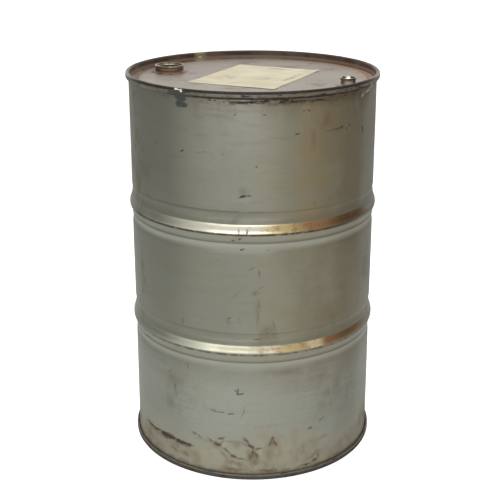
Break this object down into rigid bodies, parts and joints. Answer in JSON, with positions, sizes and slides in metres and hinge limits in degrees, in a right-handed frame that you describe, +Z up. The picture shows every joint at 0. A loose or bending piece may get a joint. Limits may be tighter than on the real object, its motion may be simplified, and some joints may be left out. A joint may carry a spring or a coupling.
{
  "type": "steel drum",
  "caption": "Weathered steel oil drum with fixed heads, rolling hoops, screw plugs in raised collars and a bare paper label on top.",
  "frame": {"origin": "on the floor at the middle of the bottom chime", "axes": "+Z up along the drum's axis; +X to the side of the small plug; -Y to the front"},
  "size_m": [0.5809, 0.581, 0.895],
  "materials": {
    "body_paint": "worn grey-green paint, chipped and rust-stained, bright on the hoops",
    "head_paint": "faded taupe paint with red-brown rust round the chime",
    "bottom_paint": "dark worn paint with rust",
    "zinc_steel": "dull zinc plating",
    "black_rubber": "matte",
    "pale_rubber": "matte, aged",
    "seam_compound": "matte",
    "paper": "matte aged paper"
  },
  "bodies": {
    "drum": {"body_shell": "body_paint", "top_head": "head_paint", "bottom_head": "bottom_paint", "top_seam_seal": "seam_compound", "bottom_seam_seal": "seam_compound", "large_flange": "zinc_steel", "large_flange_gasket": "black_rubber", "small_flange": "zinc_steel", "small_flange_gasket": "black_rubber", "paper_label": "paper"},
    "large_seal": {"large_plug_gasket": "pale_rubber"},
    "large_screw": {"large_plug": "zinc_steel"},
    "small_seal": {"small_plug_gasket": "pale_rubber"},
    "small_screw": {"small_plug": "zinc_steel"}
  },
  "joints": [
    {"name": "large_plug_lift", "type": "slide", "parent": "drum", "child": "large_seal", "axis": [0, 0, 1], "range_m": [0, 0.0208]},
    {"name": "large_plug_turn", "type": "hinge", "parent": "large_seal", "child": "large_screw", "pos_m": [-0.19602, 0.06788, 0.8805], "axis": [0, 0, 1], "range_deg": [0, 3240]},
    {"name": "small_plug_lift", "type": "slide", "parent": "drum", "child": "small_seal", "axis": [0, 0, 1], "range_m": [0, 0.0164]},
    {"name": "small_plug_turn", "type": "hinge", "parent": "small_seal", "child": "small_screw", "pos_m": [0.20998, -0.10515, 0.8805], "axis": [0, 0, 1], "range_deg": [0, 3240]}
  ],
  "couplings": [
    {"joint": "large_plug_lift", "follows": "large_plug_turn", "m_per_rad": 0.0003675},
    {"joint": "small_plug_lift", "follows": "small_plug_turn", "m_per_rad": 0.0002887}
  ]
}
